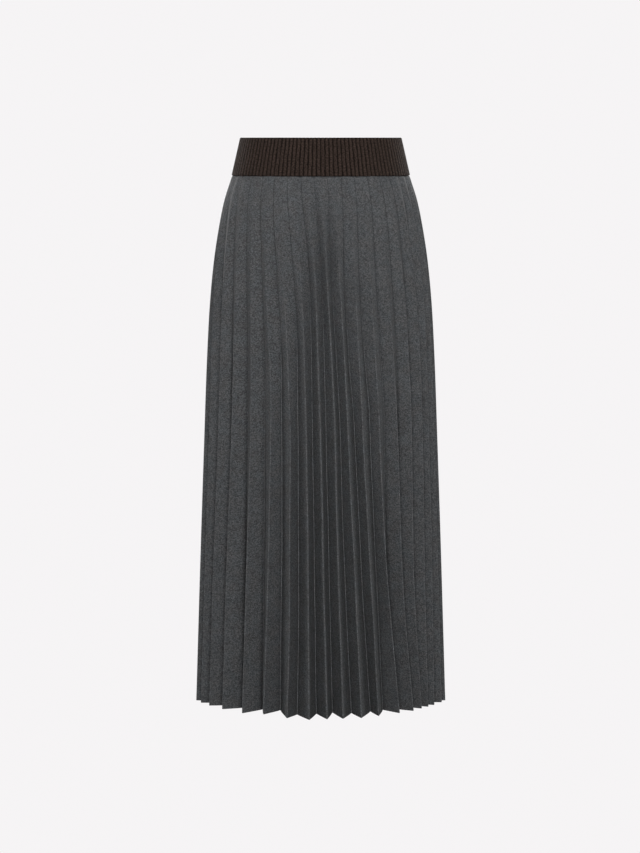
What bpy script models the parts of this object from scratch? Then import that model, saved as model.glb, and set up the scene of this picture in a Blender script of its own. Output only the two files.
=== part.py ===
"""Pleated midi skirt: a tube of sunray-pleated melange cloth on a pull-on waistband of rib knit.

Metres, +Z up, the front towards -Y. The origin is the middle of the waistband's height, on the axis
of the waist that holds the skirt up. Every ring of the skirt is drawn in a level plane: mountain
folds on an outer curve, valley folds set in from it by the pleat's depth.
"""

from collections import namedtuple
from math import cos, degrees, pi, radians, sin, tau

import bpy
import numpy as np

MM = 0.001

# Waistband: a tube of rib knit, its ribs raised on the outside only.
BAND_HEIGHT = 55 * MM
BAND_WALL = 2.2 * MM
RIB_COUNT = 114
RIB_HEIGHT = 0.9 * MM
RIB_CREST = 0.50  # share of a rib's pitch that is its flat crest
RIB_GROOVE = 0.16  # share of a rib's pitch that is the floor of the groove beside it

# Skirt cloth
CLOTH_WALL = 1.2 * MM
FOLD_WIDTH = 1.9 * MM  # how blunt a pressed fold is
FRONT_PLEATS = 18
BACK_PLEATS = 18
SEAM_GAP = 0.3 * MM
HEM_RISE = 4 * MM  # how much the hem lifts over the hips at the sides
CURVE_POINTS = 721  # points that measure a section's curve
LEAST_DEPTH = 0.8  # an opened pleat keeps this share of its section's pleat depth

# Level sections of the outside, by how far each lies below the waistband's top edge. roundness is
# 0.5 for an ellipse and 1 for two parabolas that meet at the sides; the back is rounder by half.
Section = namedtuple("Section", "drop half_width front back roundness pleat_depth")
SECTIONS = [
    Section(0 * MM, 118 * MM, 84 * MM, 88 * MM, 0.50, 1.2 * MM),
    Section(55 * MM, 130.7 * MM, 94 * MM, 99 * MM, 0.50, 1.2 * MM),
    Section(90 * MM, 141.7 * MM, 102 * MM, 109 * MM, 0.52, 1.9 * MM),
    Section(135 * MM, 150.7 * MM, 107 * MM, 119 * MM, 0.55, 3.8 * MM),
    Section(180 * MM, 157.4 * MM, 110 * MM, 126 * MM, 0.58, 6.2 * MM),
    Section(240 * MM, 163.4 * MM, 112 * MM, 130 * MM, 0.62, 9 * MM),
    Section(330 * MM, 168.6 * MM, 112 * MM, 130 * MM, 0.67, 12.8 * MM),
    Section(440 * MM, 172.9 * MM, 111.5 * MM, 128 * MM, 0.71, 17.4 * MM),
    Section(600 * MM, 178.9 * MM, 111 * MM, 127 * MM, 0.75, 23.5 * MM),
    Section(842 * MM, 187.1 * MM, 110 * MM, 126 * MM, 0.80, 30 * MM),
]
BACK_SHARPENING = 0.5

# Where the front's mountain folds lie, as a share of the front's girth from its left side as seen
# from the front. They are evenly spaced at the waistband's seam, and swing to the right below it,
# so that they open on the left and crowd together on the right. The first and last are at 0 and 1.
Fold = namedtuple("Fold", "hip thigh knee hem")
FOLD_DROPS = Fold(180 * MM, 380 * MM, 650 * MM, 842 * MM)
FRONT_FOLDS = [
    Fold(0.055, 0.050, 0.042, 0.036),
    Fold(0.116, 0.108, 0.091, 0.084),
    Fold(0.181, 0.175, 0.157, 0.146),
    Fold(0.244, 0.255, 0.240, 0.230),
    Fold(0.301, 0.329, 0.321, 0.309),
    Fold(0.366, 0.395, 0.397, 0.385),
    Fold(0.428, 0.450, 0.458, 0.462),
    Fold(0.477, 0.496, 0.509, 0.518),
    Fold(0.518, 0.543, 0.559, 0.568),
    Fold(0.562, 0.587, 0.614, 0.631),
    Fold(0.616, 0.636, 0.670, 0.692),
    Fold(0.672, 0.697, 0.730, 0.766),
    Fold(0.735, 0.767, 0.790, 0.825),
    Fold(0.802, 0.831, 0.838, 0.864),
    Fold(0.857, 0.888, 0.889, 0.895),
    Fold(0.908, 0.925, 0.929, 0.927),
    Fold(0.955, 0.963, 0.968, 0.970),
]

# Which way the front's pleats face, by their place round the front, both in degrees from straight
# ahead. Near the hips the faces lie flat and each valley lies close to the next fold on its inner
# side; lower down the pleats at the middle stand side by side like a closed accordion.
Facing = namedtuple("Facing", "place upper lower")
FACING_DROPS = (190 * MM, 390 * MM)
FACINGS = [
    Facing(-90, -90, -90),
    Facing(-60, -72, -66),
    Facing(-38, -72, -40),
    Facing(-26, -54, -19),
    Facing(-14, -24, -2),
    Facing(-5, -10, 4),
    Facing(2, 0, 6),
    Facing(8, 16, 7),
    Facing(15, 32, 5),
    Facing(24, 48, 4),
    Facing(36, 58, 28),
    Facing(50, 62, 49),
    Facing(70, 76, 72),
    Facing(90, 90, 90),
]

# The back's folds drift the same way, by two smooth waves of these sizes at the hem.
BACK_WAVES = ((1, -0.040), (3, -0.010))  # (waves across the back, share of the back's girth)
BACK_FALL_AT_THIGH = 0.6  # share of that drift that is reached at the thigh

# Rings of the cloth, by drop below the top edge; the first is a seam's gap below the waistband.
RING_DROPS = [drop * MM for drop in (72, 90, 115, 145, 180, 225, 280, 345, 420, 510, 610, 725, 842)]

Colour = namedtuple("Colour", "rgb roughness")
CLOTH_COLOUR = Colour((0.060, 0.063, 0.066), 0.85)
BAND_COLOUR = Colour((0.030, 0.020, 0.016), 0.90)


def top_z():
    return BAND_HEIGHT / 2


def smooth(at, places, values):
    """A monotone cubic curve through values at places, read at one place."""
    places = np.asarray(places, float)
    values = np.asarray(values, float)
    steps = np.diff(places)
    slopes = np.diff(values) / steps
    ends = np.concatenate([[slopes[0]], (slopes[:-1] + slopes[1:]) / 2, [slopes[-1]]])
    turning = slopes[:-1] * slopes[1:] <= 0
    ends[1:-1][turning] = 0
    i = int(np.clip(np.searchsorted(places, at) - 1, 0, len(steps) - 1))
    s = (at - places[i]) / steps[i]
    rise = steps[i] * ((s - 2 * s**2 + s**3) * ends[i] + (s**3 - s**2) * ends[i + 1])
    return float(values[i] + (values[i + 1] - values[i]) * (3 * s**2 - 2 * s**3) + rise)


def section_at(drop):
    drops = [section.drop for section in SECTIONS]
    return Section(*(smooth(drop, drops, column) for column in zip(*SECTIONS)))


def outer_point(section, angle, inset=0.0):
    """A point of the outer curve. The angle is 0 at centre front and a quarter turn at the right side."""
    across = sin(angle)
    ahead = cos(angle)
    if ahead > 0:
        depth = -(section.front - inset) * ahead ** (2 * section.roundness)
    else:
        roundness = 0.5 + (section.roundness - 0.5) * BACK_SHARPENING
        depth = (section.back - inset) * (-ahead) ** (2 * roundness)
    return np.array([(section.half_width - inset) * across, depth])


def angles_at_shares(section, first, last, shares, inset):
    """The angles that part the curve between two angles at these shares of its length."""
    angles = np.linspace(first, last, CURVE_POINTS)
    points = np.array([outer_point(section, angle, inset) for angle in angles])
    run = np.concatenate([[0.0], np.cumsum(np.hypot(*np.diff(points, axis=0).T))])
    return np.interp(np.asarray(shares) * run[-1], run, angles)


def front_shares(drop):
    """Shares of the front's girth for its mountain folds, both sides included, at this drop."""
    places = [BAND_HEIGHT, *FOLD_DROPS]
    inner = [
        smooth(drop, places, [number / FRONT_PLEATS, *fold])
        for number, fold in enumerate(FRONT_FOLDS, start=1)
    ]
    return [0.0, *inner, 1.0]


def back_shares(drop):
    """Shares of the back's girth for the folds between its two sides."""
    fall = smooth(drop, [BAND_HEIGHT, FOLD_DROPS.thigh, FOLD_DROPS.hem], [0.0, BACK_FALL_AT_THIGH, 1.0])
    even = np.arange(1, BACK_PLEATS) / BACK_PLEATS
    drift = sum(size * np.sin(tau * waves * even) for waves, size in BACK_WAVES)
    return even + fall * drift


def outward(angle):
    return np.array([sin(angle), -cos(angle)])


def along(angle):
    return np.array([cos(angle), sin(angle)])


def facing(angle, drop):
    """The way a pleat faces at this angle round the skirt; the back's pleats all face straight out."""
    if angle > pi / 2 or angle < -pi / 2:
        return angle
    table = Facing(*zip(*FACINGS))
    first, last = FACING_DROPS
    low = min(max((drop - first) / (last - first), 0.0), 1.0)
    upper = smooth(degrees(angle), table.place, table.upper)
    lower = smooth(degrees(angle), table.place, table.lower)
    return radians(upper * (1 - low) + lower * low)


def fold_ring(drop):
    """The blunt folds of one ring, round from the front's left side: mountain, valley, mountain and so
    on. Each fold is its middle and the direction along its blunt edge."""
    section = section_at(drop)
    half_wall = CLOTH_WALL / 2
    front = angles_at_shares(section, -pi / 2, pi / 2, front_shares(drop), half_wall)
    back = angles_at_shares(section, pi / 2, 3 * pi / 2, back_shares(drop), half_wall)
    angles = np.concatenate([front, back])
    mountains = np.array([outer_point(section, angle, half_wall) for angle in angles])
    chords = np.hypot(*(np.roll(mountains, -1, axis=0) - mountains).T)
    face = np.hypot(section.pleat_depth, chords.mean() / 2)
    folds = []
    for i, angle in enumerate(angles):
        after = (i + 1) % len(angles)
        halfway = (angle + (angles[after] if after else angles[0] + tau)) / 2
        least = LEAST_DEPTH * section.pleat_depth
        depth = np.sqrt(max(face**2 - (chords[i] / 2) ** 2, least**2))
        middle = (mountains[i] + mountains[after]) / 2
        valley = middle - depth * outward(facing(halfway, drop))
        folds.append((mountains[i], along(facing(angle, drop)), angle))
        folds.append((valley, along(facing(halfway, drop)), halfway))
    return folds


def panel_line(folds):
    """The middle line of one panel's wall in a ring, with the angle of each of its points. It begins and
    ends halfway over a valley fold, half a seam's gap short of the other panel."""
    line = []
    for number, (middle, direction, angle) in enumerate(folds):
        if number > 0:
            line.append((middle - direction * FOLD_WIDTH / 2, angle))
        else:
            line.append((middle + direction * SEAM_GAP / 2, angle))
        if number < len(folds) - 1:
            line.append((middle + direction * FOLD_WIDTH / 2, angle))
        else:
            line.append((middle - direction * SEAM_GAP / 2, angle))
    return line


def both_sides(points, wall):
    """Points half a wall outside and inside an open line in the plane, mitred at its corners."""
    runs = np.diff(points, axis=0)
    runs /= np.hypot(*runs.T)[:, None]
    normals = np.column_stack([runs[:, 1], -runs[:, 0]])
    before = np.vstack([normals[:1], normals])
    after = np.vstack([normals, normals[-1:]])
    middle = before + after
    middle /= np.hypot(*middle.T)[:, None]
    reach = wall / 2 / (middle * before).sum(axis=1)
    offset = middle * reach[:, None]
    return points + offset, points - offset


def wall_between(name, outer, inner, closed):
    """A closed mesh between two grids of points (rows by columns), each face split the same way on both
    sides, so that the wall keeps its thickness where it twists."""
    rows, columns = outer.shape[:2]
    points = np.concatenate([outer.reshape(-1, 3), inner.reshape(-1, 3)])
    shift = rows * columns
    faces = []

    def quad(a, b, c, d):
        faces.append((a, b, c))
        faces.append((a, c, d))

    for row in range(rows - 1):
        for column in range(columns if closed else columns - 1):
            a = row * columns + column
            b = row * columns + (column + 1) % columns
            quad(a, a + columns, b + columns, b)
            faces.append((a + shift, b + columns + shift, a + columns + shift))
            faces.append((a + shift, b + shift, b + columns + shift))
    bottom = (rows - 1) * columns
    for column in range(columns if closed else columns - 1):
        beside = (column + 1) % columns
        quad(column, beside, beside + shift, column + shift)
        quad(bottom + beside, bottom + column, bottom + column + shift, bottom + beside + shift)
    if not closed:
        for row in range(rows - 1):
            first = row * columns
            last = first + columns - 1
            quad(first + columns, first, first + shift, first + columns + shift)
            quad(last, last + columns, last + columns + shift, last + shift)
    mesh = bpy.data.meshes.new(name)
    mesh.from_pydata([tuple(point) for point in points], [], faces)
    mesh.validate()
    return mesh


def material(name, colour):
    made = bpy.data.materials.new(name)
    made.use_nodes = True
    shader = made.node_tree.nodes["Principled BSDF"]
    shader.inputs["Base Color"].default_value = (*colour.rgb, 1.0)
    shader.inputs["Roughness"].default_value = colour.roughness
    shader.inputs["Metallic"].default_value = 0.0
    made.diffuse_color = (*colour.rgb, 1.0)
    return made


def add_object(name, mesh, colour, collection):
    mesh.materials.append(material(f"{name}_material", colour))
    made = bpy.data.objects.new(name, mesh)
    collection.objects.link(made)
    return made


def waistband_mesh():
    """Ribs run straight from the bottom edge to the top edge and narrow with the tube."""
    crest_half = RIB_CREST / 2
    groove_half = (1 - RIB_GROOVE) / 2
    corners = ((-groove_half, 0.0), (-crest_half, 1.0), (crest_half, 1.0), (groove_half, 0.0))
    rib_ends = [(rib + place) / RIB_COUNT for rib in range(RIB_COUNT) for place, _ in corners]
    shares = np.array(rib_ends) + 0.5 / RIB_COUNT
    raised = np.array([height for _ in range(RIB_COUNT) for _, height in corners]) * RIB_HEIGHT
    outer = []
    inner = []
    for drop in (0.0, BAND_HEIGHT):
        section = section_at(drop)
        angles = angles_at_shares(section, 0.0, tau, shares, RIB_HEIGHT)
        outer_line = [
            outer_point(section, angle, RIB_HEIGHT - height) for angle, height in zip(angles, raised)
        ]
        inner_line = [outer_point(section, angle, RIB_HEIGHT + BAND_WALL) for angle in angles]
        z = top_z() - drop
        outer.append([(x, y, z) for x, y in outer_line])
        inner.append([(x, y, z) for x, y in inner_line])
    return wall_between("rib_knit_waistband", np.array(outer), np.array(inner), closed=True)


def skirt_panel_meshes():
    """The front takes every fold from the valley behind its left side to the valley behind its right
    side; the back takes the rest. The side seams lie in those two valleys, where pleats hide them."""
    drops = [BAND_HEIGHT + SEAM_GAP, *RING_DROPS]
    panels = {"front_skirt_panel": ([], []), "back_skirt_panel": ([], [])}
    for drop in drops:
        folds = fold_ring(drop)
        seam = 2 * FRONT_PLEATS + 1
        lines = {
            "front_skirt_panel": panel_line([folds[-1], *folds[: seam + 1]]),
            "back_skirt_panel": panel_line(folds[seam:]),
        }
        for name, line in lines.items():
            points = np.array([point for point, _ in line])
            lift = HEM_RISE * (drop - BAND_HEIGHT) / (RING_DROPS[-1] - BAND_HEIGHT)
            heights = [top_z() - drop + lift * sin(angle) ** 2 for _, angle in line]
            if drop == drops[0]:
                heights = [top_z() - drop] * len(line)
            for grid, side in zip(panels[name], both_sides(points, CLOTH_WALL)):
                grid.append(np.column_stack([side, heights]))
    return {
        name: wall_between(name, np.array(outer), np.array(inner), closed=False)
        for name, (outer, inner) in panels.items()
    }


def build():
    for old in list(bpy.data.objects):
        bpy.data.objects.remove(old, do_unlink=True)
    collection = bpy.data.collections.new("pleated_midi_skirt")
    bpy.context.scene.collection.children.link(collection)
    add_object("rib_knit_waistband", waistband_mesh(), BAND_COLOUR, collection)
    for name, mesh in skirt_panel_meshes().items():
        add_object(name, mesh, CLOTH_COLOUR, collection)


build()
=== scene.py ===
"""Looks of the pleated midi skirt: fine pleated cloth, rib-knit waistband, studio light and camera.

Metres, +Z up, the front towards -Y. The tables of sections, folds and facings are those of the
solids, so that the fine cloth lies on them. Every row of the cloth is worked out in a level plane.
"""

from collections import namedtuple
from math import cos, pi, radians, sin, tau

import bpy
import numpy as np
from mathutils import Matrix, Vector


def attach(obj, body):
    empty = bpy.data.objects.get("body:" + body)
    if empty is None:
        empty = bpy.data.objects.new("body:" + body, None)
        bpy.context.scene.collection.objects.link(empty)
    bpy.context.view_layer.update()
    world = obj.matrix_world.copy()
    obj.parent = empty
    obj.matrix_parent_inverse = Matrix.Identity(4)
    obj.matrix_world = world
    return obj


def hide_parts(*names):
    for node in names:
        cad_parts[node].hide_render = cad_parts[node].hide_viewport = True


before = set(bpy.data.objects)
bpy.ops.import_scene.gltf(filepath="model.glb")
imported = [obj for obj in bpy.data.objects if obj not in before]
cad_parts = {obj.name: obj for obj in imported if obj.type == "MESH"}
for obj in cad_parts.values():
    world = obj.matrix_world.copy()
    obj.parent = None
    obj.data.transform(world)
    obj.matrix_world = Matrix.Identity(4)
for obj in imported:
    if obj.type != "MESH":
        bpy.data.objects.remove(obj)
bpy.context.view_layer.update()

MM = 0.001

# Waistband
BAND_HEIGHT = 55 * MM
BAND_WALL = 2.2 * MM
RIB_COUNT = 114
RIB_HEIGHT = 0.9 * MM

# Skirt cloth
SOLID_WALL = 1.2 * MM  # the wall of the solids, whose middle the fine cloth follows
CLOTH_HALF = 0.30 * MM
FOLD_ROUNDING = 0.25 * MM  # how far a pressed fold rounds into the faces beside it
SOFT_ROUNDING = 3.6 * MM  # how much more it does so at the waistband's seam
SOFT_UNTIL = 190 * MM  # drop below which the folds are all crisp
FRONT_PLEATS = 18
BACK_PLEATS = 18
HEM_DROP = 842 * MM
HEM_RISE = 4 * MM
HEM_TURN = 14 * MM  # height of the hem's turned-up edge inside
LEAST_DEPTH = 0.8  # an opened pleat keeps this share of its section's pleat depth
SEAM_HALF_GAP = 0.1 * MM
SEAM_ALLOWANCE = 7 * MM
ROW_STEP = 8.4 * MM  # from one row of the cloth to the next
CURVE_POINTS = 721  # points that measure a section's curve

# The flat cut of one skirt panel: a sector of a ring
CUT_ANGLE = radians(59)
CUT_WAIST_RADIUS = 0.350
CUT_HEM_RADIUS = 1.140

# Level sections of the outside, by drop below the waistband's top edge
Section = namedtuple("Section", "drop half_width front back roundness pleat_depth")
SECTIONS = [
    Section(0 * MM, 118 * MM, 84 * MM, 88 * MM, 0.50, 1.2 * MM),
    Section(55 * MM, 130.7 * MM, 94 * MM, 99 * MM, 0.50, 1.2 * MM),
    Section(90 * MM, 141.7 * MM, 102 * MM, 109 * MM, 0.52, 1.9 * MM),
    Section(135 * MM, 150.7 * MM, 107 * MM, 119 * MM, 0.55, 3.8 * MM),
    Section(180 * MM, 157.4 * MM, 110 * MM, 126 * MM, 0.58, 6.2 * MM),
    Section(240 * MM, 163.4 * MM, 112 * MM, 130 * MM, 0.62, 9 * MM),
    Section(330 * MM, 168.6 * MM, 112 * MM, 130 * MM, 0.67, 12.8 * MM),
    Section(440 * MM, 172.9 * MM, 111.5 * MM, 128 * MM, 0.71, 17.4 * MM),
    Section(600 * MM, 178.9 * MM, 111 * MM, 127 * MM, 0.75, 23.5 * MM),
    Section(842 * MM, 187.1 * MM, 110 * MM, 126 * MM, 0.80, 30 * MM),
]
BACK_SHARPENING = 0.5  # the back is this much nearer to an ellipse than the front is

# The front's mountain folds, as shares of the front's girth from its left side
Fold = namedtuple("Fold", "hip thigh knee hem")
FOLD_DROPS = Fold(180 * MM, 380 * MM, 650 * MM, 842 * MM)
FRONT_FOLDS = [
    Fold(0.055, 0.050, 0.042, 0.036),
    Fold(0.116, 0.108, 0.091, 0.084),
    Fold(0.181, 0.175, 0.157, 0.146),
    Fold(0.244, 0.255, 0.240, 0.230),
    Fold(0.301, 0.329, 0.321, 0.309),
    Fold(0.366, 0.395, 0.397, 0.385),
    Fold(0.428, 0.450, 0.458, 0.462),
    Fold(0.477, 0.496, 0.509, 0.518),
    Fold(0.518, 0.543, 0.559, 0.568),
    Fold(0.562, 0.587, 0.614, 0.631),
    Fold(0.616, 0.636, 0.670, 0.692),
    Fold(0.672, 0.697, 0.730, 0.766),
    Fold(0.735, 0.767, 0.790, 0.825),
    Fold(0.802, 0.831, 0.838, 0.864),
    Fold(0.857, 0.888, 0.889, 0.895),
    Fold(0.908, 0.925, 0.929, 0.927),
    Fold(0.955, 0.963, 0.968, 0.970),
]

# Which way the pleats face by their place round the front, in degrees from straight ahead
Facing = namedtuple("Facing", "place upper lower")
FACING_DROPS = (190 * MM, 390 * MM)
FACINGS = [
    Facing(-90, -90, -90),
    Facing(-60, -72, -66),
    Facing(-38, -72, -40),
    Facing(-26, -54, -19),
    Facing(-14, -24, -2),
    Facing(-5, -10, 4),
    Facing(2, 0, 6),
    Facing(8, 16, 7),
    Facing(15, 32, 5),
    Facing(24, 48, 4),
    Facing(36, 58, 28),
    Facing(50, 62, 49),
    Facing(70, 76, 72),
    Facing(90, 90, 90),
]
BACK_WAVES = ((1, -0.040), (3, -0.010))  # (waves across the back, share of the back's girth)
BACK_FALL_AT_THIGH = 0.6  # share of that drift that is reached at the thigh

# How the hem hangs unevenly: how much higher and how much further to the right some folds lie there
# than the tables above give. Folds are counted round from the mountain at the front's left side, so
# that odd numbers are valleys.
Hang = namedtuple("Hang", "fold lift shift")
HEM_HANGS = [
    Hang(7, 1.3 * MM, 0.6 * MM),
    Hang(9, 2.5 * MM, 0.5 * MM),
    Hang(10, 2.9 * MM, 0.8 * MM),
    Hang(11, 4.2 * MM, 2.6 * MM),
    Hang(12, 0.4 * MM, 2.0 * MM),
    Hang(14, -0.6 * MM, 0.6 * MM),
    Hang(15, 1.4 * MM, 1.3 * MM),
    Hang(16, 0.5 * MM, 1.3 * MM),
    Hang(17, 2.8 * MM, 1.5 * MM),
    Hang(18, 0.6 * MM, 1.7 * MM),
    Hang(19, 1.2 * MM, 3.0 * MM),
    Hang(20, 0.0 * MM, 0.5 * MM),
    Hang(21, 1.4 * MM, 4.2 * MM),
    Hang(22, 0.4 * MM, 0.5 * MM),
    Hang(23, 1.0 * MM, 1.6 * MM),
    Hang(24, 0.2 * MM, 2.0 * MM),
    Hang(25, -1.0 * MM, 2.0 * MM),
    Hang(26, -0.6 * MM, 1.2 * MM),
]
HEM_HANG_REACH = 240 * MM  # how far up the skirt an uneven hem is felt

# Each fold wanders a little to its sides on the way down
WANDER = 0.7 * MM
WANDER_FROM = 70 * MM
WANDER_EASE = 300 * MM
SWAY_WAVES = ((0.62, 0.5), (0.31, 0.3), (0.17, 0.2))  # (length down the fold, weight)
SWELL_SWAY = 0.35  # share by which a face's swell varies down the fold

TOP_Z = BAND_HEIGHT / 2


# ---------------------------------------------------------------- the skirt's form


def smooth(at, places, values):
    """A monotone cubic curve through values at places, read at one place or at several."""
    places = np.asarray(places, float)
    values = np.asarray(values, float)
    steps = np.diff(places)
    slopes = np.diff(values) / steps
    ends = np.concatenate([[slopes[0]], (slopes[:-1] + slopes[1:]) / 2, [slopes[-1]]])
    turning = slopes[:-1] * slopes[1:] <= 0
    ends[1:-1][turning] = 0
    i = np.clip(np.searchsorted(places, at) - 1, 0, len(steps) - 1)
    s = (at - places[i]) / steps[i]
    rise = steps[i] * ((s - 2 * s**2 + s**3) * ends[i] + (s**3 - s**2) * ends[i + 1])
    return values[i] + (values[i + 1] - values[i]) * (3 * s**2 - 2 * s**3) + rise


def section_at(drop):
    """The outside's section at this drop."""
    drops = [section.drop for section in SECTIONS]
    return Section(*(float(smooth(drop, drops, column)) for column in zip(*SECTIONS)))


def outer_points(section, angles, inset=0.0):
    """Points of the outer curve. The angle is 0 at centre front and a quarter turn at the right."""
    across = np.sin(angles)
    ahead = np.cos(angles)
    back_roundness = 0.5 + (section.roundness - 0.5) * BACK_SHARPENING
    front = (section.front - inset) * np.clip(ahead, 0, None) ** (2 * section.roundness)
    back = (section.back - inset) * np.clip(-ahead, 0, None) ** (2 * back_roundness)
    return np.column_stack([(section.half_width - inset) * across, back - front])


def angles_at_shares(section, first, last, shares, inset):
    """The angles that part the curve between two angles at these shares of its length."""
    angles = np.linspace(first, last, CURVE_POINTS)
    points = outer_points(section, angles, inset)
    run = np.concatenate([[0.0], np.cumsum(np.hypot(*np.diff(points, axis=0).T))])
    return np.interp(np.asarray(shares) * run[-1], run, angles)


def front_shares(drop):
    """Where the front's mountain folds lie, as shares of its girth from the left."""
    places = [BAND_HEIGHT, *FOLD_DROPS]
    inner = [
        float(smooth(drop, places, [number / FRONT_PLEATS, *fold]))
        for number, fold in enumerate(FRONT_FOLDS, start=1)
    ]
    return [0.0, *inner, 1.0]


def back_shares(drop):
    """Where the back's inner mountain folds lie, as shares of its girth from the right side seam."""
    places = [BAND_HEIGHT, FOLD_DROPS.thigh, FOLD_DROPS.hem]
    fall = smooth(drop, places, [0.0, BACK_FALL_AT_THIGH, 1.0])
    even = np.arange(1, BACK_PLEATS) / BACK_PLEATS
    drift = sum(size * np.sin(tau * waves * even) for waves, size in BACK_WAVES)
    return even + fall * drift


def facings(angles, drop):
    """The way the pleats at these angles face; the back's pleats all face straight out."""
    at_front = np.abs(angles) <= pi / 2
    places = np.degrees(np.where(at_front, angles, 0.0))
    table = Facing(*zip(*FACINGS))
    first, last = FACING_DROPS
    low = min(max((drop - first) / (last - first), 0.0), 1.0)
    upper = smooth(places, table.place, table.upper)
    lower = smooth(places, table.place, table.lower)
    turned = np.radians(upper * (1 - low) + lower * low)
    return np.where(at_front, turned, angles)


def sway(drop, number, seed):
    """A slow, uneven wave down each fold, near -1 to 1, that its neighbours share in part."""
    total = np.zeros(len(number))
    for part, (length, weight) in enumerate(SWAY_WAVES):
        phase = 1.9 * np.sin(0.83 * number + seed + part) + 2.7 * np.sin(0.29 * number * (part + 1))
        total += weight * np.sin(tau * drop / length + phase + seed * (part + 2))
    return total


def fold_ring(drop):
    """Middle, blunt direction and angle of each fold in a ring: mountain, valley, mountain and so on
    from the front's left side."""
    section = section_at(drop)
    inset = SOLID_WALL / 2
    front = angles_at_shares(section, -pi / 2, pi / 2, front_shares(drop), inset)
    back = angles_at_shares(section, pi / 2, 3 * pi / 2, back_shares(drop), inset)
    angles = np.concatenate([front, back])
    mountains = outer_points(section, angles, inset)
    after = np.roll(mountains, -1, axis=0)
    chords = np.hypot(*(after - mountains).T)
    face = np.hypot(section.pleat_depth, chords.mean() / 2)
    next_angles = np.append(angles[1:], angles[0] + tau)
    halfway = (angles + next_angles) / 2
    least = LEAST_DEPTH * section.pleat_depth
    depth = np.sqrt(np.maximum(face**2 - (chords / 2) ** 2, least**2))
    outward = facings(halfway, drop)
    valleys = (mountains + after) / 2
    valleys -= depth[:, None] * np.column_stack([np.sin(outward), -np.cos(outward)])

    count = 2 * len(angles)
    middles = np.empty((count, 2))
    middles[0::2] = mountains
    middles[1::2] = valleys
    turned = np.empty(count)
    turned[0::2] = facings(angles, drop)
    turned[1::2] = outward
    places = np.empty(count)
    places[0::2] = angles
    places[1::2] = halfway
    directions = np.column_stack([np.cos(turned), np.sin(turned)])
    ease = np.clip((drop - WANDER_FROM) / WANDER_EASE, 0, 1)
    shift = WANDER * ease * sway(drop, np.arange(count), 1.3)
    middles += directions * shift[:, None]
    return middles, directions, places


# ---------------------------------------------------------------- fine cloth line

# By drop: how blunt the folds are, how far a face swells out beside its valley, how much painted
# highlight lies on a mountain's crease, the painted shade high up and painted highlight lower down
# on the crease of a valley that is open to the front, and the painted shade beside a valley that
# another pleat hides
Crease = namedtuple("Crease", "drop mountain valley swell ridge furrow hollow")
CREASES = [
    Crease(55 * MM, 0.5 * MM, 0.6 * MM, 0.10 * MM, -0.05, -0.30, 0.00),
    Crease(180 * MM, 0.5 * MM, 0.7 * MM, 0.35 * MM, 0.00, -0.35, -0.20),
    Crease(290 * MM, 0.6 * MM, 1.0 * MM, 0.55 * MM, 0.25, 0.25, -0.40),
    Crease(420 * MM, 0.7 * MM, 1.25 * MM, 0.80 * MM, 0.30, 0.45, -0.65),
    Crease(842 * MM, 0.8 * MM, 1.25 * MM, 1.30 * MM, 0.30, 0.52, -0.90),
]
HIDDEN_VALLEY_PAINTED_SHADE = -0.75  # painted shade on the crease of a valley that another pleat hides
FOLD_PAINTED_SHADING = (0.3, 0.9, 1.0, 0.9, 0.3)  # shares of a crease's painted highlight and shade at a fold's five points

# Points of a face between its folds: share of the way from the valley, of the swell and of the
# hollow's painted shade
FacePoint = namedtuple("FacePoint", "share swell tint")
FACE_POINTS = [
    FacePoint(0.03, 0.25, 1.00),
    FacePoint(0.12, 0.72, 0.50),
    FacePoint(0.25, 1.00, 0.08),
    FacePoint(0.46, 0.86, 0.02),
    FacePoint(0.72, 0.46, 0.00),
    FacePoint(0.97, 0.05, 0.00),
]
MIDDLE_PAINTED_SHADE = 0.30  # share of the hollow's painted shade that an open valley at centre front has
MIDDLE_SWELL = 0.25  # share of the swell that the closed pleats at centre front have


def crease_at(drop):
    """How the folds are creased at this drop."""
    table = Crease(*zip(*CREASES))
    return Crease(*(float(smooth(drop, table.drop, column)) for column in table))


def unit(vectors):
    """Level vectors at a length of 1."""
    return vectors / np.hypot(vectors[..., 0], vectors[..., 1])[..., None]


def fold_widths(crease, fold_count):
    """How blunt each fold of a panel is; every second fold, from the second, is a mountain."""
    widths = np.full(fold_count, crease.valley)
    widths[1::2] = crease.mountain
    return widths[:, None]


def fold_roundings(drop, fold_count):
    """Valleys are crisp all the way; mountains are soft at the waistband, crisp from the hips down."""
    above = np.clip((SOFT_UNTIL - drop) / (SOFT_UNTIL - BAND_HEIGHT), 0, 1)
    roundings = np.full(fold_count, FOLD_ROUNDING)
    roundings[1::2] += SOFT_ROUNDING * above**2
    return roundings[:, None]


def face_points(start, stop, normal, swells):
    """Six points on each face. Every second face runs from a valley to a mountain, the others back."""
    table = FacePoint(*zip(*FACE_POINTS))
    from_valley = np.array(table.share)
    humps = np.tile(table.swell, (len(start), 1))
    steps = np.tile(from_valley, (len(start), 1))
    steps[1::2] = 1 - from_valley[::-1]
    humps[1::2] = humps[1::2, ::-1]
    steps = steps[..., None]
    raised = (humps * swells[:, None])[..., None] * normal[:, None]
    return start[:, None] * (1 - steps) + stop[:, None] * steps + raised


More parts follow.
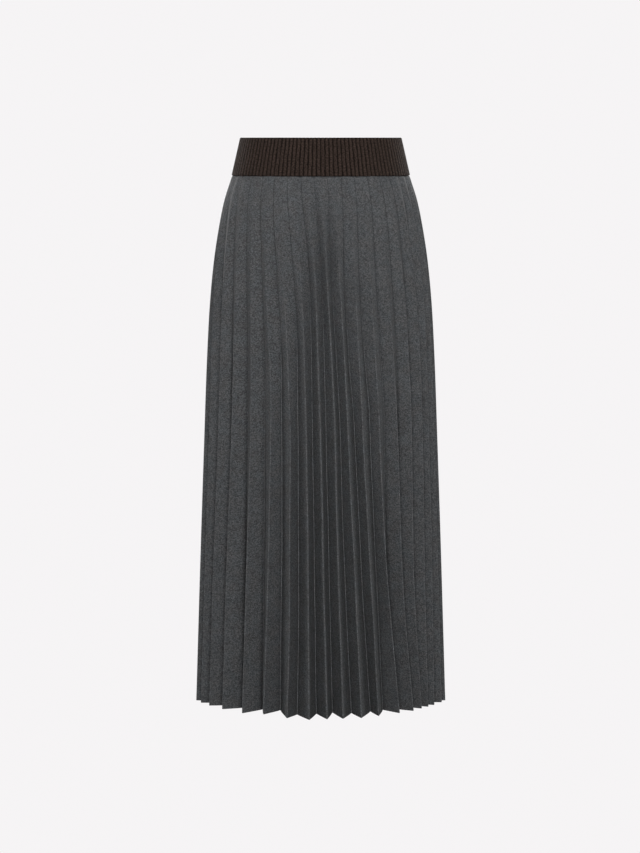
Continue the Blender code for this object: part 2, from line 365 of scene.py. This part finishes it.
def cloth_line(middles, directions, swells, widths, roundings):
    """The middle line of one panel in a ring: a blunt, rounded fold of five points at each inner
    fold, six points on each face between them, and a seam allowance turned in at each end."""
    half = directions * widths / 2
    before = middles - half
    after = middles + half
    along = unit(before[1:] - after[:-1])
    start = after[:-1] + along * roundings[:-1]
    stop = before[1:] - along * roundings[1:]
    normal = np.column_stack([along[:, 1], -along[:, 0]])
    faces = face_points(start, stop, normal, swells)

    inner = slice(1, -1)
    left = before[inner] - along[:-1] * roundings[inner]
    right = after[inner] + along[1:] * roundings[inner]
    weights = [((1 - t) ** 2, 2 * t * (1 - t), t**2) for t in (0.0, 0.25, 0.5, 0.75, 1.0)]
    folds = np.stack([left * a + middles[inner] * b + right * c for a, b, c in weights], axis=1)
    inward = np.column_stack([-directions[:, 1], directions[:, 0]])
    beside = SEAM_HALF_GAP + CLOTH_HALF
    first = middles[0] + directions[0] * beside
    last = middles[-1] - directions[-1] * beside
    opening = [first + inward[0] * SEAM_ALLOWANCE, first + inward[0] * 2 * MM, start[0]]
    closing = [stop[-1], last + inward[-1] * 2 * MM, last + inward[-1] * SEAM_ALLOWANCE]
    middle_part = np.concatenate([folds, faces[1:]], axis=1).reshape(-1, 2)
    return np.concatenate([np.array(opening), faces[0], middle_part, np.array(closing)])


def painted_shading_of_line(crease, turned):
    """How much paler (painted highlight) or darker (painted shade) than the plain cloth each point of a
    line is, from the way its folds face; every second fold, from the first, is a valley."""
    aside = np.sin(turned) ** 2
    folds = np.full(len(turned), crease.ridge)
    folds[0::2] = crease.furrow * (1 - aside[0::2]) + HIDDEN_VALLEY_PAINTED_SHADE * aside[0::2]
    beside_valley = MIDDLE_PAINTED_SHADE + (1 - MIDDLE_PAINTED_SHADE) * aside[0::2]
    hollow_painted_shades = crease.hollow * np.repeat(beside_valley, 2)[: len(turned)]
    beside = [point.tint for point in FACE_POINTS]
    painted_shadings = [0.0, 0.0, hollow_painted_shades[0]]
    for number in range(1, len(turned)):
        from_valley = number % 2 == 1
        valley = number - 1 if from_valley else number
        painted_shadings += [hollow_painted_shades[valley] * share for share in (beside if from_valley else beside[::-1])]
        if number < len(turned) - 1:
            painted_shadings += [folds[number] * share for share in FOLD_PAINTED_SHADING]
    painted_shadings += [hollow_painted_shades[-1], 0.0, 0.0]
    return np.array(painted_shadings)


def cut_places(line, fold_count):
    """Each point's share of the panel's cut width: the folds lie evenly on the cut cloth, and between
    two folds the share grows with the length of cloth."""
    run = np.concatenate([[0.0], np.cumsum(np.hypot(*np.diff(line, axis=0).T))])
    between = len(FACE_POINTS) + len(FOLD_PAINTED_SHADING)
    first = 3 + len(FACE_POINTS) + len(FOLD_PAINTED_SHADING) // 2
    columns = [1, *range(first, first + between * (fold_count - 2), between), len(line) - 2]
    return np.interp(run, run[columns], np.linspace(0, 1, fold_count))


def both_sides(points, outer_reach, inner_reach):
    """Points outside and inside an open line in the plane, mitred at its corners."""
    runs = unit(np.diff(points, axis=0))
    normals = np.column_stack([runs[:, 1], -runs[:, 0]])
    before = np.vstack([normals[:1], normals])
    after = np.vstack([normals, normals[-1:]])
    middle = unit(before + after)
    mitre = middle / np.maximum((middle * before).sum(axis=1), 0.5)[:, None]
    return points + mitre * outer_reach, points - mitre * inner_reach


# A row of the cloth: how far it is tucked in behind the folds, and how far its wall reaches outwards
# and inwards from its middle line
Row = namedtuple("Row", "drop tuck outer_reach inner_reach")


def cloth_rows():
    """Rows of the cloth from the waistband's seam to the hem. At the top the cloth turns in under the
    waistband, with a seam allowance up inside it; the hem's last 14 mm are turned up inside and its
    lower edge is rounded."""
    half = CLOTH_HALF
    rows = [
        Row(BAND_HEIGHT - SEAM_ALLOWANCE, 3.2 * MM, half, half),
        Row(BAND_HEIGHT - 0.4 * MM, 3.2 * MM, half, half),
        Row(BAND_HEIGHT + 0.15 * MM, 2.7 * MM, half, half),
        Row(BAND_HEIGHT + 0.25 * MM, 1.25 * MM, half, half),
        Row(BAND_HEIGHT + 0.6 * MM, 0.95 * MM, half, half),
        Row(BAND_HEIGHT + 1.2 * MM, 0.55 * MM, half, half),
        Row(BAND_HEIGHT + 2.2 * MM, 0.22 * MM, half, half),
        Row(BAND_HEIGHT + 4.0 * MM, 0.05 * MM, half, half),
    ]
    turn_top = HEM_DROP - HEM_TURN
    for drop in np.arange(BAND_HEIGHT + 8 * MM, turn_top - 3 * MM, ROW_STEP):
        rows.append(Row(drop, 0.0, half, half))
    rows.append(Row(turn_top - 0.6 * MM, 0.0, half, half))
    rows.append(Row(turn_top, 0.0, half, 2.2 * half))
    rows.append(Row(HEM_DROP - HEM_TURN / 2, 0.0, half * 1.1, 2.3 * half))
    rows.append(Row(HEM_DROP - 1.4 * MM, 0.0, half * 1.1, 2.2 * half))
    rows.append(Row(HEM_DROP - 0.5 * MM, 0.0, half * 0.9, 1.9 * half))
    rows.append(Row(HEM_DROP, 0.0, half * 0.3, 1.2 * half))
    return rows


def hem_hangs(chosen, drop):
    """How much each of these folds is lifted and shifted at this drop by the hem's uneven hang."""
    hangs = {hang.fold: (hang.lift, hang.shift) for hang in HEM_HANGS}
    near_hem = max(0.0, 1 - (HEM_DROP - drop) / HEM_HANG_REACH)
    return near_hem**2 * np.array([hangs.get(int(fold), (0.0, 0.0)) for fold in chosen])


def cloth_grids(first_fold, fold_count, seed):
    """Outer and inner grids of points (rows, columns, 3) of one panel, their places on the cut and
    their painted highlights and shade."""
    outer = []
    inner = []
    cut = []
    painted_shadings = []
    number = np.arange(first_fold, first_fold + fold_count)
    for row in cloth_rows():
        middles, directions, places = fold_ring(row.drop)
        chosen = number % len(middles)
        outward = np.column_stack([directions[chosen][:, 1], -directions[chosen][:, 0]])
        hangs = hem_hangs(chosen, row.drop)
        centres = middles[chosen] - outward * row.tuck + directions[chosen] * hangs[:, 1:]
        crease = crease_at(row.drop)
        place = places[chosen]
        beside = MIDDLE_SWELL + (1 - MIDDLE_SWELL) * np.abs(np.sin(place[:-1]))
        swells = crease.swell * beside * (1 + SWELL_SWAY * sway(row.drop, number[:-1], seed))
        widths = fold_widths(crease, fold_count)
        roundings = fold_roundings(row.drop, fold_count)
        line = cloth_line(centres, directions[chosen], swells, widths, roundings)
        outside, inside = both_sides(line, row.outer_reach, row.inner_reach)
        along = np.linspace(0, 1, len(line))
        spread = np.interp(along, np.linspace(0, 1, fold_count), np.sin(place) ** 2)
        lift = HEM_RISE * max(0.0, row.drop - BAND_HEIGHT) / (HEM_DROP - BAND_HEIGHT)
        on_cut = cut_places(line, fold_count)
        uneven = np.interp(on_cut, np.linspace(0, 1, fold_count), hangs[:, 0])
        heights = TOP_Z - row.drop + lift * spread + uneven
        outer.append(np.column_stack([outside, heights]))
        inner.append(np.column_stack([inside, heights]))
        cut.append(on_cut)
        painted_shadings.append(painted_shading_of_line(crease, np.arctan2(outward[:, 0], -outward[:, 1])))
    return np.array(outer), np.array(inner), np.array(cut), np.array(painted_shadings)


# ---------------------------------------------------------------- meshes


def add_uv(mesh, name, per_loop):
    layer = mesh.uv_layers.new(name=name)
    layer.data.foreach_set("uv", np.asarray(per_loop, np.float32).ravel())


def add_attribute(mesh, name, values):
    attribute = mesh.attributes.new(name, "FLOAT", "POINT")
    attribute.data.foreach_set("value", np.asarray(values, np.float32).ravel())


def grid_quads(rows, columns, flipped, offset):
    """The faces of a grid of points that starts at this offset."""
    row, column = np.meshgrid(np.arange(rows - 1), np.arange(columns - 1), indexing="ij")
    a = (row * columns + column).ravel() + offset
    quads = np.column_stack([a, a + columns, a + columns + 1, a + 1])
    return quads[:, ::-1] if flipped else quads


def rim_quads(rows, columns):
    """Faces that join the outer grid to the inner one round its four edges, edge by edge."""
    shift = rows * columns
    top = np.arange(columns)
    bottom = top + (rows - 1) * columns
    left = np.arange(rows) * columns
    right = left + columns - 1
    quads = []
    for edge, turned in ((top, False), (bottom, True), (left, True), (right, False)):
        one = edge[1:] if turned else edge[:-1]
        two = edge[:-1] if turned else edge[1:]
        quads.append(np.column_stack([one, two, two + shift, one + shift]))
    return quads


# The baked picture of a panel: its outside above, its inside below and its four rims between them
BAKE_MARGIN = 0.004
OUTSIDE_FROM = 0.506
OUTSIDE_TALL = 0.49
INSIDE_FROM = 0.004
INSIDE_TALL = 0.484
RIM_LEVELS = (0.4915, 0.4955, 0.4995, 0.5025)
RIM_TALL = 0.0018


def baked_layout(columns, down):
    """Where the points of the outer and the inner grid go in the baked picture."""
    across = np.linspace(BAKE_MARGIN, 1 - BAKE_MARGIN, columns)
    u, v = np.meshgrid(across, 1 - down)
    outside = np.column_stack([u.ravel(), OUTSIDE_FROM + OUTSIDE_TALL * v.ravel()])
    inside = np.column_stack([u.ravel(), INSIDE_FROM + INSIDE_TALL * v.ravel()])
    return outside, inside


def rim_layout(length, level):
    """A thin strip of the baked picture for one rim of this many faces."""
    ends = np.linspace(BAKE_MARGIN, 1 - BAKE_MARGIN, length + 1)
    low = np.full(length, level)
    high = np.full(length, level + RIM_TALL)
    corners = ((ends[:-1], low), (ends[1:], low), (ends[1:], high), (ends[:-1], high))
    return np.stack([np.column_stack(corner) for corner in corners], axis=1)


def cut_coordinates(place, down):
    """Coordinates in metres on the flat cut, a ring's sector, for each point of a grid."""
    radius = CUT_WAIST_RADIUS + (CUT_HEM_RADIUS - CUT_WAIST_RADIUS) * down
    angle = (place - 0.5) * CUT_ANGLE
    u = radius[:, None] * np.sin(angle)
    v = -radius[:, None] * np.cos(angle)
    return np.column_stack([u.ravel(), v.ravel()])


def cloth_mesh(name, first_fold, fold_count, seed):
    """One panel's mesh, with its painted shading and its places on the cut and in the baked picture."""
    outer, inner, place, painted_shadings = cloth_grids(first_fold, fold_count, seed)
    rows, columns = outer.shape[:2]
    points = np.concatenate([outer.reshape(-1, 3), inner.reshape(-1, 3)])
    drops = np.array([row.drop for row in cloth_rows()])
    down = (drops - BAND_HEIGHT) / (HEM_DROP - BAND_HEIGHT)
    down_picture = (drops - drops[0]) / (drops[-1] - drops[0])
    front = grid_quads(rows, columns, False, 0)
    back = grid_quads(rows, columns, True, rows * columns)
    rims = rim_quads(rows, columns)
    quads = np.concatenate([front, back, *rims])
    mesh = bpy.data.meshes.new(name)
    mesh.from_pydata(points.tolist(), [], quads.tolist())

    add_attribute(mesh, "tint", np.tile(painted_shadings.ravel(), 2))
    cut = np.tile(cut_coordinates(place, down), (2, 1))
    add_uv(mesh, "cut", cut[quads.ravel()])
    outside, inside = baked_layout(columns, down_picture)
    strips = [rim_layout(len(rim), level) for rim, level in zip(rims, RIM_LEVELS)]
    loops = [outside[front], inside[back - rows * columns], *strips]
    add_uv(mesh, "OFBake", np.concatenate([part.reshape(-1, 2) for part in loops]))
    mesh.validate()
    mesh.shade_smooth()
    mesh.set_sharp_from_angle(angle=radians(75))
    return mesh


def add_piece(name, mesh, material):
    """A visible piece that rides the part's one body."""
    mesh.materials.append(material)
    piece = bpy.data.objects.new(name, mesh)
    bpy.context.scene.collection.objects.link(piece)
    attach(piece, "root")
    return piece


# ---------------------------------------------------------------- waistband

INNER_TONE = 0.7  # how pale the plain inside is, as a share of the way from groove to crest
RIB_STEPS = (-0.5, -0.42, -0.35, -0.28, -0.20, -0.10, 0.0, 0.10, 0.20, 0.28, 0.35, 0.42)
RIB_LEAN = 0.035  # how far a rib wanders to its sides, in pitches
RIB_WAVE = 38 * MM  # height over which it does so
RIB_DIP = 0.35 * MM  # how much lower the top edge is between two ribs
RIB_UNEVEN = 0.25 * MM  # how uneven the ribs' lower ends are


def rib_height(place):
    """Height of a rib, 0 to 1, by its place across the pitch: a round crest and a deep narrow groove."""
    across = np.abs(place) / 0.5
    return np.clip(1 - across**2.2, 0, 1) ** 0.8


def band_profile():
    """Rows round the waistband's wall: (height above its lower edge, share of the way inside, share of
    the ribs' shading kept). It runs up the outside, over the folded top and down the inside."""
    turn = 1.5 * MM
    rows = [(0.15 * MM, 0.55, 0.2), (0.0, 0.40, 0.6), (0.15 * MM, 0.22, 0.9), (0.7 * MM, 0.07, 1.0)]
    for height in np.linspace(1.6 * MM, BAND_HEIGHT - turn, 20):
        rows.append((height, 0.0, 1.0))
    # Over the folded top the ribs' painted shading fades out at once, so the roll is painted dark like
    # the grooves
    for step in range(1, 8):
        swing = pi * step / 8
        height = BAND_HEIGHT - turn + turn * sin(swing)
        rows.append((height, (1 - cos(swing)) / 2, max(0.0, 1 - step / 3)))
    for height in np.linspace(BAND_HEIGHT - turn, 0.8 * MM, 8):
        rows.append((height, 1.0, 0.0))
    rows.append((0.3 * MM, 0.85, 0.0))
    return rows


def band_mesh(name):
    """The ribbed waistband's mesh. Each rib has a height and a lean of its own."""
    place = np.tile(RIB_STEPS, RIB_COUNT)
    rib = np.repeat(np.arange(RIB_COUNT), len(RIB_STEPS))
    shares = (rib + 0.5 + place) / RIB_COUNT
    relief = rib_height(place)
    chance = np.random.default_rng(11)
    crest = 1 + chance.uniform(-0.10, 0.0, RIB_COUNT)[rib]
    phase = chance.uniform(0, tau, RIB_COUNT)[rib]
    ends = [section_at(0.0), section_at(BAND_HEIGHT)]
    points = []
    heights = []
    for height, inside, kept in band_profile():
        lean = RIB_LEAN * np.sin(tau * height / RIB_WAVE + phase) / RIB_COUNT
        low = height / BAND_HEIGHT
        section = Section(*(a * low + b * (1 - low) for a, b in zip(*ends)))
        angles = angles_at_shares(section, 0.0, tau, (shares + lean) % 1.0, RIB_HEIGHT)
        out_inset = RIB_HEIGHT * (1 - relief * crest)
        in_inset = RIB_HEIGHT + BAND_WALL
        inset = out_inset * (1 - inside) + in_inset * inside
        dip = RIB_DIP * (1 - relief) * (sin(pi * inside) if inside < 1 else 0.0)
        uneven = RIB_UNEVEN * np.sin(phase) if height < 1 * MM else 0.0
        z = height - BAND_HEIGHT / 2 - dip * (height > BAND_HEIGHT / 2) + uneven
        points.append(np.column_stack([banded_points(section, angles, inset), z]))
        # Low values of this attribute take the grooves' painted shade in the knit's colour
        heights.append(relief * kept + INNER_TONE * inside * (1 - kept))
    return ring_mesh(name, np.array(points), np.array(heights))


def banded_points(section, angles, insets):
    """Points of the outer curve with an inset of its own for each point."""
    across = np.sin(angles)
    ahead = np.cos(angles)
    depth = np.where(ahead > 0, -(section.front - insets) * ahead, -(section.back - insets) * ahead)
    return np.column_stack([(section.half_width - insets) * across, depth])


def ring_mesh(name, grid, heights):
    """The waistband's mesh, from a grid of points that closes on itself both ways."""
    rows, columns = grid.shape[:2]
    row, column = np.meshgrid(np.arange(rows), np.arange(columns), indexing="ij")
    beside = (column + 1) % columns
    above = (row + 1) % rows
    low = row * columns
    high = above * columns
    corners = (low + column, low + beside, high + beside, high + column)
    quads = np.column_stack([corner.ravel() for corner in corners])
    mesh = bpy.data.meshes.new(name)
    mesh.from_pydata(grid.reshape(-1, 3).tolist(), [], quads.tolist())
    add_attribute(mesh, "relief", heights)
    add_uv(mesh, "knit", knit_coordinates(row, column))
    add_uv(mesh, "OFBake", band_layout(row, column, columns))
    mesh.validate()
    mesh.shade_smooth()
    return mesh


QUAD_CORNERS = ((0, 0), (0, 1), (1, 1), (1, 0))  # (one row up, one column to the right)
BAKE_STRIPS = 6


def profile_run():
    """How far each row of the waistband lies along its profile, in metres, and the whole way round."""
    profile = np.array([(height, inside * BAND_WALL) for height, inside, _ in band_profile()])
    steps = np.hypot(*np.diff(np.vstack([profile, profile[:1]]), axis=0).T)
    return np.concatenate([[0.0], np.cumsum(steps)])


def knit_coordinates(row, column):
    """Ribs across and metres along the profile, for each corner of each face."""
    run = profile_run()
    places = [rib + 0.5 + step for rib in range(RIB_COUNT) for step in RIB_STEPS]
    places = np.array([*places, RIB_COUNT])
    u = np.stack([places[column + right] for _, right in QUAD_CORNERS], axis=-1)
    v = np.stack([run[row + up] for up, _ in QUAD_CORNERS], axis=-1)
    return np.stack([u, v], axis=-1).reshape(-1, 2)


def band_layout(row, column, columns):
    """The waistband's wall in six strips of the baked picture, one above the other."""
    run = profile_run()
    per_strip = columns // BAKE_STRIPS
    strip = column // per_strip
    u = np.stack([(column % per_strip + right) / per_strip for _, right in QUAD_CORNERS], axis=-1)
    v = np.stack([run[row + up] / run[-1] for up, _ in QUAD_CORNERS], axis=-1)
    u = BAKE_MARGIN + (1 - 2 * BAKE_MARGIN) * u
    v = (strip[..., None] + 0.02 + 0.96 * v) / BAKE_STRIPS
    return np.stack([u, v], axis=-1).reshape(-1, 2)


# ---------------------------------------------------------------- materials


class Shader:
    """A material's node tree, built with short calls."""

    def __init__(self, name):
        self.material = bpy.data.materials.new(name)
        self.material.use_nodes = True
        self.tree = self.material.node_tree
        self.principled = self.tree.nodes["Principled BSDF"]

    def node(self, kind, inputs=(), **settings):
        made = self.tree.nodes.new(kind)
        for key, value in settings.items():
            setattr(made, key, value)
        for key, value in dict(inputs).items():
            self.put(made.inputs[key], value)
        return made

    def put(self, socket, value):
        if isinstance(value, bpy.types.NodeSocket):
            self.tree.links.new(value, socket)
        else:
            socket.default_value = value

    def math(self, operation, first, second=0.0, third=0.0):
        inputs = {0: first, 1: second, 2: third}
        return self.node("ShaderNodeMath", inputs, operation=operation).outputs[0]

    def attribute(self, name):
        return self.node("ShaderNodeAttribute", attribute_name=name).outputs["Fac"]

    def uv(self, name):
        return self.node("ShaderNodeUVMap", uv_map=name).outputs["UV"]

    def scaled(self, vector, scale, rotation=0.0):
        inputs = {"Vector": vector, "Scale": scale, "Rotation": (0.0, 0.0, rotation)}
        return self.node("ShaderNodeMapping", inputs).outputs[0]

    def noise(self, vector, scale=1.0, detail=2.0, roughness=0.5):
        inputs = {"Vector": vector, "Scale": scale, "Detail": detail, "Roughness": roughness}
        return self.node("ShaderNodeTexNoise", inputs).outputs["Fac"]

    def cells(self, vector):
        """A random value, 0 to 1, in each small uneven cell."""
        colour = self.node("ShaderNodeTexVoronoi", {"Vector": vector, "Scale": 1.0}).outputs["Color"]
        return self.node("ShaderNodeSeparateColor", {0: colour}).outputs[0]

    def between(self, value, from_low, from_high, low, high):
        inputs = {0: value, 1: from_low, 2: from_high, 3: low, 4: high}
        return self.node("ShaderNodeMapRange", inputs, clamp=True).outputs[0]

    def mix(self, share, first, second):
        made = self.node("ShaderNodeMix", data_type="RGBA", blend_type="MIX")
        self.put(made.inputs[0], share)
        self.put(made.inputs[6], first)
        self.put(made.inputs[7], second)
        return made.outputs[2]

    def shaded(self, colour, amount):
        """A colour multiplied by a plain amount."""
        made = self.node("ShaderNodeVectorMath", {0: colour}, operation="SCALE")
        self.put(made.inputs["Scale"], amount)
        return made.outputs[0]


def melange_cloth():
    """Heathered twill: dark and pale fibres mixed, slow mottling, and painted highlights and shade at
    the creases.
    """
    cloth = Shader("melange_cloth")
    flat = cloth.uv("cut")
    warp = cloth.noise(cloth.scaled(flat, (900.0, 450.0, 1.0)), detail=2.0, roughness=0.7)
    weft = cloth.noise(cloth.scaled(flat, (420.0, 940.0, 1.0)), detail=2.0, roughness=0.7)
    fibres = cloth.math("ADD", warp, weft)
    soft = cloth.between(fibres, 0.75, 1.25, 0.38, 0.94)
    flecks = cloth.math("POWER", cloth.cells(cloth.scaled(flat, (860.0, 760.0, 1.0))), 1.5)
    grain = cloth.math("MULTIPLY_ADD", flecks, 0.85, soft)
    mottle = cloth.noise(flat, scale=26.0, detail=3.0)
    slow = cloth.between(mottle, 0.3, 0.7, 0.94, 1.06)
    # Painted highlight on the creases and painted shade in the hollows beside the valleys, from the mesh
    tint = cloth.math("ADD", cloth.attribute("tint"), 1.0)
    amount = cloth.math("MULTIPLY", cloth.math("MULTIPLY", grain, slow), tint)
    cool = (0.0600, 0.0635, 0.0670, 1.0)
    neutral = (0.0620, 0.0620, 0.0635, 1.0)
    tone = cloth.noise(flat, scale=60.0, detail=2.0)
    colour = cloth.mix(cloth.between(tone, 0.35, 0.65, 0.0, 1.0), cool, neutral)
    cloth.put(cloth.principled.inputs["Base Color"], cloth.shaded(colour, amount))
    rough = cloth.between(fibres, 0.7, 1.3, 0.92, 0.80)
    cloth.put(cloth.principled.inputs["Roughness"], rough)
    cloth.principled.inputs["Specular IOR Level"].default_value = 0.15
    cloth.principled.inputs["Sheen Weight"].default_value = 0.02
    cloth.principled.inputs["Sheen Roughness"].default_value = 0.5
    slanted = cloth.scaled(flat, (1.0, 1.0, 1.0), radians(38))
    waves = {"Vector": slanted, "Scale": 260.0, "Distortion": 1.5}
    twill = cloth.node("ShaderNodeTexWave", waves, wave_type="BANDS")
    height = cloth.math("ADD", fibres, cloth.math("MULTIPLY", twill.outputs["Fac"], 0.35))
    bump = cloth.node("ShaderNodeBump", {"Strength": 0.35, "Distance": 0.0004, "Height": height})
    cloth.put(cloth.principled.inputs["Normal"], bump.outputs[0])
    return cloth.material


def rib_knit():
    """Brown rib knit: v-shaped stitches up each rib, with painted shade down in the grooves."""
    knit = Shader("rib_knit")
    flat = knit.uv("knit")
    parts = knit.node("ShaderNodeSeparateXYZ", {0: flat})
    across = knit.math("SUBTRACT", knit.math("FRACT", parts.outputs[0]), 0.5)
    arm = knit.math("ABSOLUTE", across)
    courses = knit.math("MULTIPLY", parts.outputs[1], tau / 0.0021)
    slant = knit.math("MULTIPLY", arm, -14.0)
    loops = knit.math("SINE", knit.math("ADD", courses, slant))
    relief = knit.attribute("relief")
    yarn = knit.noise(knit.scaled(flat, (3.0, 430.0, 1.0)), detail=3.0, roughness=0.6)
    streak = knit.noise(knit.scaled(flat, (2.2, 60.0, 1.0)), detail=2.0)
    # The groove colour is painted shade: far darker than the crests, mixed in by the relief attribute
    crest = (0.0306, 0.0202, 0.0159, 1.0)
    groove = (0.0042, 0.0017, 0.0009, 1.0)
    colour = knit.mix(knit.between(relief, 0.20, 0.95, 0.0, 1.0), groove, crest)
    uneven = knit.between(yarn, 0.3, 0.7, 0.20, 1.80)
    banded = knit.between(streak, 0.3, 0.7, 0.86, 1.14)
    looped = knit.between(loops, -1.0, 1.0, 0.86, 1.10)
    amount = knit.math("MULTIPLY", knit.math("MULTIPLY", uneven, banded), looped)
    knit.put(knit.principled.inputs["Base Color"], knit.shaded(colour, amount))
    knit.put(knit.principled.inputs["Roughness"], knit.between(yarn, 0.3, 0.7, 0.95, 0.82))
    knit.principled.inputs["Specular IOR Level"].default_value = 0.12
    knit.principled.inputs["Sheen Weight"].default_value = 0.01
    knit.principled.inputs["Sheen Roughness"].default_value = 0.5
    height = knit.math("ADD", loops, knit.math("MULTIPLY", yarn, 1.2))
    bump = knit.node("ShaderNodeBump", {"Strength": 0.5, "Distance": 0.0004, "Height": height})
    knit.put(knit.principled.inputs["Normal"], bump.outputs[0])
    return knit.material


# ---------------------------------------------------------------- studio

FLOOR_Z = -1.05
STUDIO_RADIUS = 9.0
STUDIO_HEIGHT = 9.0
STUDIO_BEND = 2.0  # radius of the curve from the floor up into the wall
STUDIO_SIDES = 64
BACKDROP = (0.919, 0.904, 0.912, 1.0)
SKY = (0.98, 0.99, 1.0, 1.0)
SKY_STRENGTH = 0.12
CAMERA_DISTANCE = 3.7
CAMERA_SHIFT = -0.00118
CAMERA_LENS = 106.18
CAMERA_DIP = radians(6.5514)  # how far down the camera looks


def backdrop_material():
    """Paper that shows its own even tone, whatever light falls on it."""
    made = bpy.data.materials.new("backdrop_paper")
    made.use_nodes = True
    tree = made.node_tree
    tree.nodes.clear()
    glow = tree.nodes.new("ShaderNodeEmission")
    glow.inputs["Color"].default_value = BACKDROP
    glow.inputs["Strength"].default_value = 1.0
    out = tree.nodes.new("ShaderNodeOutputMaterial")
    tree.links.new(glow.outputs[0], out.inputs["Surface"])
    return made


def add_backdrop():
    """A pale round floor that curves up into a wall all round."""
    flat = STUDIO_RADIUS - STUDIO_BEND
    profile = [(flat, 0.0)]
    for step in range(1, 9):
        swing = step / 8 * pi / 2
        profile.append((flat + STUDIO_BEND * sin(swing), STUDIO_BEND * (1 - cos(swing))))
    profile.append((STUDIO_RADIUS, STUDIO_HEIGHT))
    points = []
    for radius, height in profile:
        for side in range(STUDIO_SIDES):
            angle = tau * side / STUDIO_SIDES
            points.append((radius * cos(angle), radius * sin(angle), FLOOR_Z + height))
    faces = [tuple(range(STUDIO_SIDES))]
    for ring in range(len(profile) - 1):
        for side in range(STUDIO_SIDES):
            a = ring * STUDIO_SIDES + side
            b = ring * STUDIO_SIDES + (side + 1) % STUDIO_SIDES
            faces.append((a, b, b + STUDIO_SIDES, a + STUDIO_SIDES))
    mesh = bpy.data.meshes.new("studio_floor")
    mesh.from_pydata(points, [], faces)
    mesh.materials.append(backdrop_material())
    floor = bpy.data.objects.new("studio_floor", mesh)
    bpy.context.scene.collection.objects.link(floor)
    floor.visible_diffuse = False
    floor.visible_glossy = False
    floor.visible_transmission = False
    floor.visible_shadow = False


def add_world():
    """Faint even light from all round."""
    world = bpy.data.worlds.new("studio")
    world.use_nodes = True
    sky = world.node_tree.nodes["Background"]
    sky.inputs["Color"].default_value = SKY
    sky.inputs["Strength"].default_value = SKY_STRENGTH
    bpy.context.scene.world = world


# Softboxes round the skirt, each aimed at a target
Light = namedtuple("Light", "name place target size power")
SKIRT_MIDDLE = (0.0, 0.0, -0.35)
LIGHTS = [
    Light("front_box", (0.0, -3.3, 0.3), SKIRT_MIDDLE, (1.2, 1.2), 30.0),
    Light("front_right_box", (0.6, -3.3, 0.4), SKIRT_MIDDLE, (1.2, 1.2), 20.0),
    Light("high_box", (0.0, -2.1, 1.3), (0.0, 0.0, -0.2), (1.2, 0.9), 39.0),
    Light("left_box", (-3.3, -0.3, 0.3), SKIRT_MIDDLE, (1.4, 1.8), 40.0),
    Light("right_box", (3.3, -0.3, 0.3), SKIRT_MIDDLE, (1.4, 1.8), 39.0),
    Light("back_left_box", (-2.4, 2.8, 1.2), SKIRT_MIDDLE, (1.4, 1.8), 120.0),
    Light("back_right_box", (2.4, 2.8, 1.2), SKIRT_MIDDLE, (1.4, 1.8), 120.0),
]


def add_light(light):
    """One softbox."""
    lamp = bpy.data.lights.new(light.name, "AREA")
    lamp.shape = "RECTANGLE"
    lamp.size, lamp.size_y = light.size
    lamp.energy = light.power
    made = bpy.data.objects.new(light.name, lamp)
    made.location = light.place
    aim = Vector(light.target) - Vector(light.place)
    made.rotation_euler = aim.to_track_quat("-Z", "Y").to_euler()
    bpy.context.scene.collection.objects.link(made)


def add_camera():
    """In front, level with the waistband's top edge, looking a little down."""
    view = bpy.data.cameras.new("camera")
    view.sensor_width = 36.0
    view.lens = CAMERA_LENS
    camera = bpy.data.objects.new("camera", view)
    camera.location = (CAMERA_SHIFT, -CAMERA_DISTANCE, TOP_Z)
    camera.rotation_euler = (pi / 2 - CAMERA_DIP, 0.0, 0.0)
    bpy.context.scene.collection.objects.link(camera)
    bpy.context.scene.camera = camera


# ---------------------------------------------------------------- assembly


def dress():
    """Puts the fine cloth and the waistband over the solids and hides the solids; the cloth carries its
    flat cut.
    """
    cloth = melange_cloth()
    knit = rib_knit()
    seam = 2 * FRONT_PLEATS + 1
    all_folds = 2 * (FRONT_PLEATS + BACK_PLEATS)
    front_mesh = cloth_mesh("front_pleats", -1, seam + 2, 0.4)
    back_mesh = cloth_mesh("back_pleats", seam, all_folds - seam, 2.1)
    front = add_piece("front_pleats", front_mesh, cloth)
    back = add_piece("back_pleats", back_mesh, cloth)
    band = add_piece("ribbed_waistband", band_mesh("ribbed_waistband"), knit)
    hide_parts("front_skirt_panel")
    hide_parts("back_skirt_panel")
    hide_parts("rib_knit_waistband")


dress()
add_backdrop()
add_world()
for light in LIGHTS:
    add_light(light)
add_camera()
bpy.context.scene.view_settings.view_transform = "Standard"
